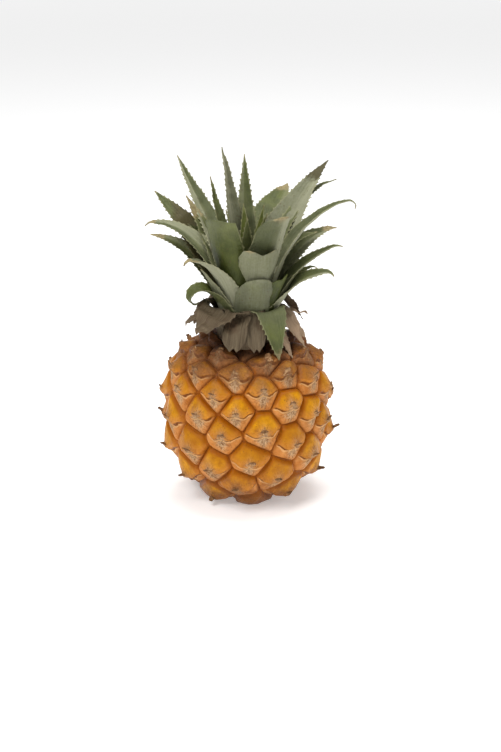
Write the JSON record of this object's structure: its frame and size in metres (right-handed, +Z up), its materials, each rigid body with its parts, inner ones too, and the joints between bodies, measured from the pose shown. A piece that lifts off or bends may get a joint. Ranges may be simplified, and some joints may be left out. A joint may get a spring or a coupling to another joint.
{
  "type": "pineapple",
  "caption": "Small ripe pineapple standing on its base: a golden fruit of spiralling raised eyes under a leafy crown with spiny edges and dry withered leaves round its neck",
  "frame": {"origin": "middle of the base, on the surface that the fruit stands on", "axes": "+Z up along the fruit from base to crown, -Y towards the side that the picture shows, +X to the right of that side"},
  "size_m": [0.1154, 0.1191, 0.1936],
  "materials": {
    "fruit_skin": "waxy yellow-orange eyes with peach bracts and brown grooves",
    "crown_leaf": "satin olive green with a silver-grey bloom",
    "withered_leaf": "matt dry grey-brown",
    "stalk_fibre": "matt cut fibre"
  },
  "bodies": {
    "root": {"fruit": "fruit_skin", "crown": "crown_leaf", "withered_collar": "withered_leaf", "cut_stalk": "stalk_fibre"}
  },
  "joints": []
}
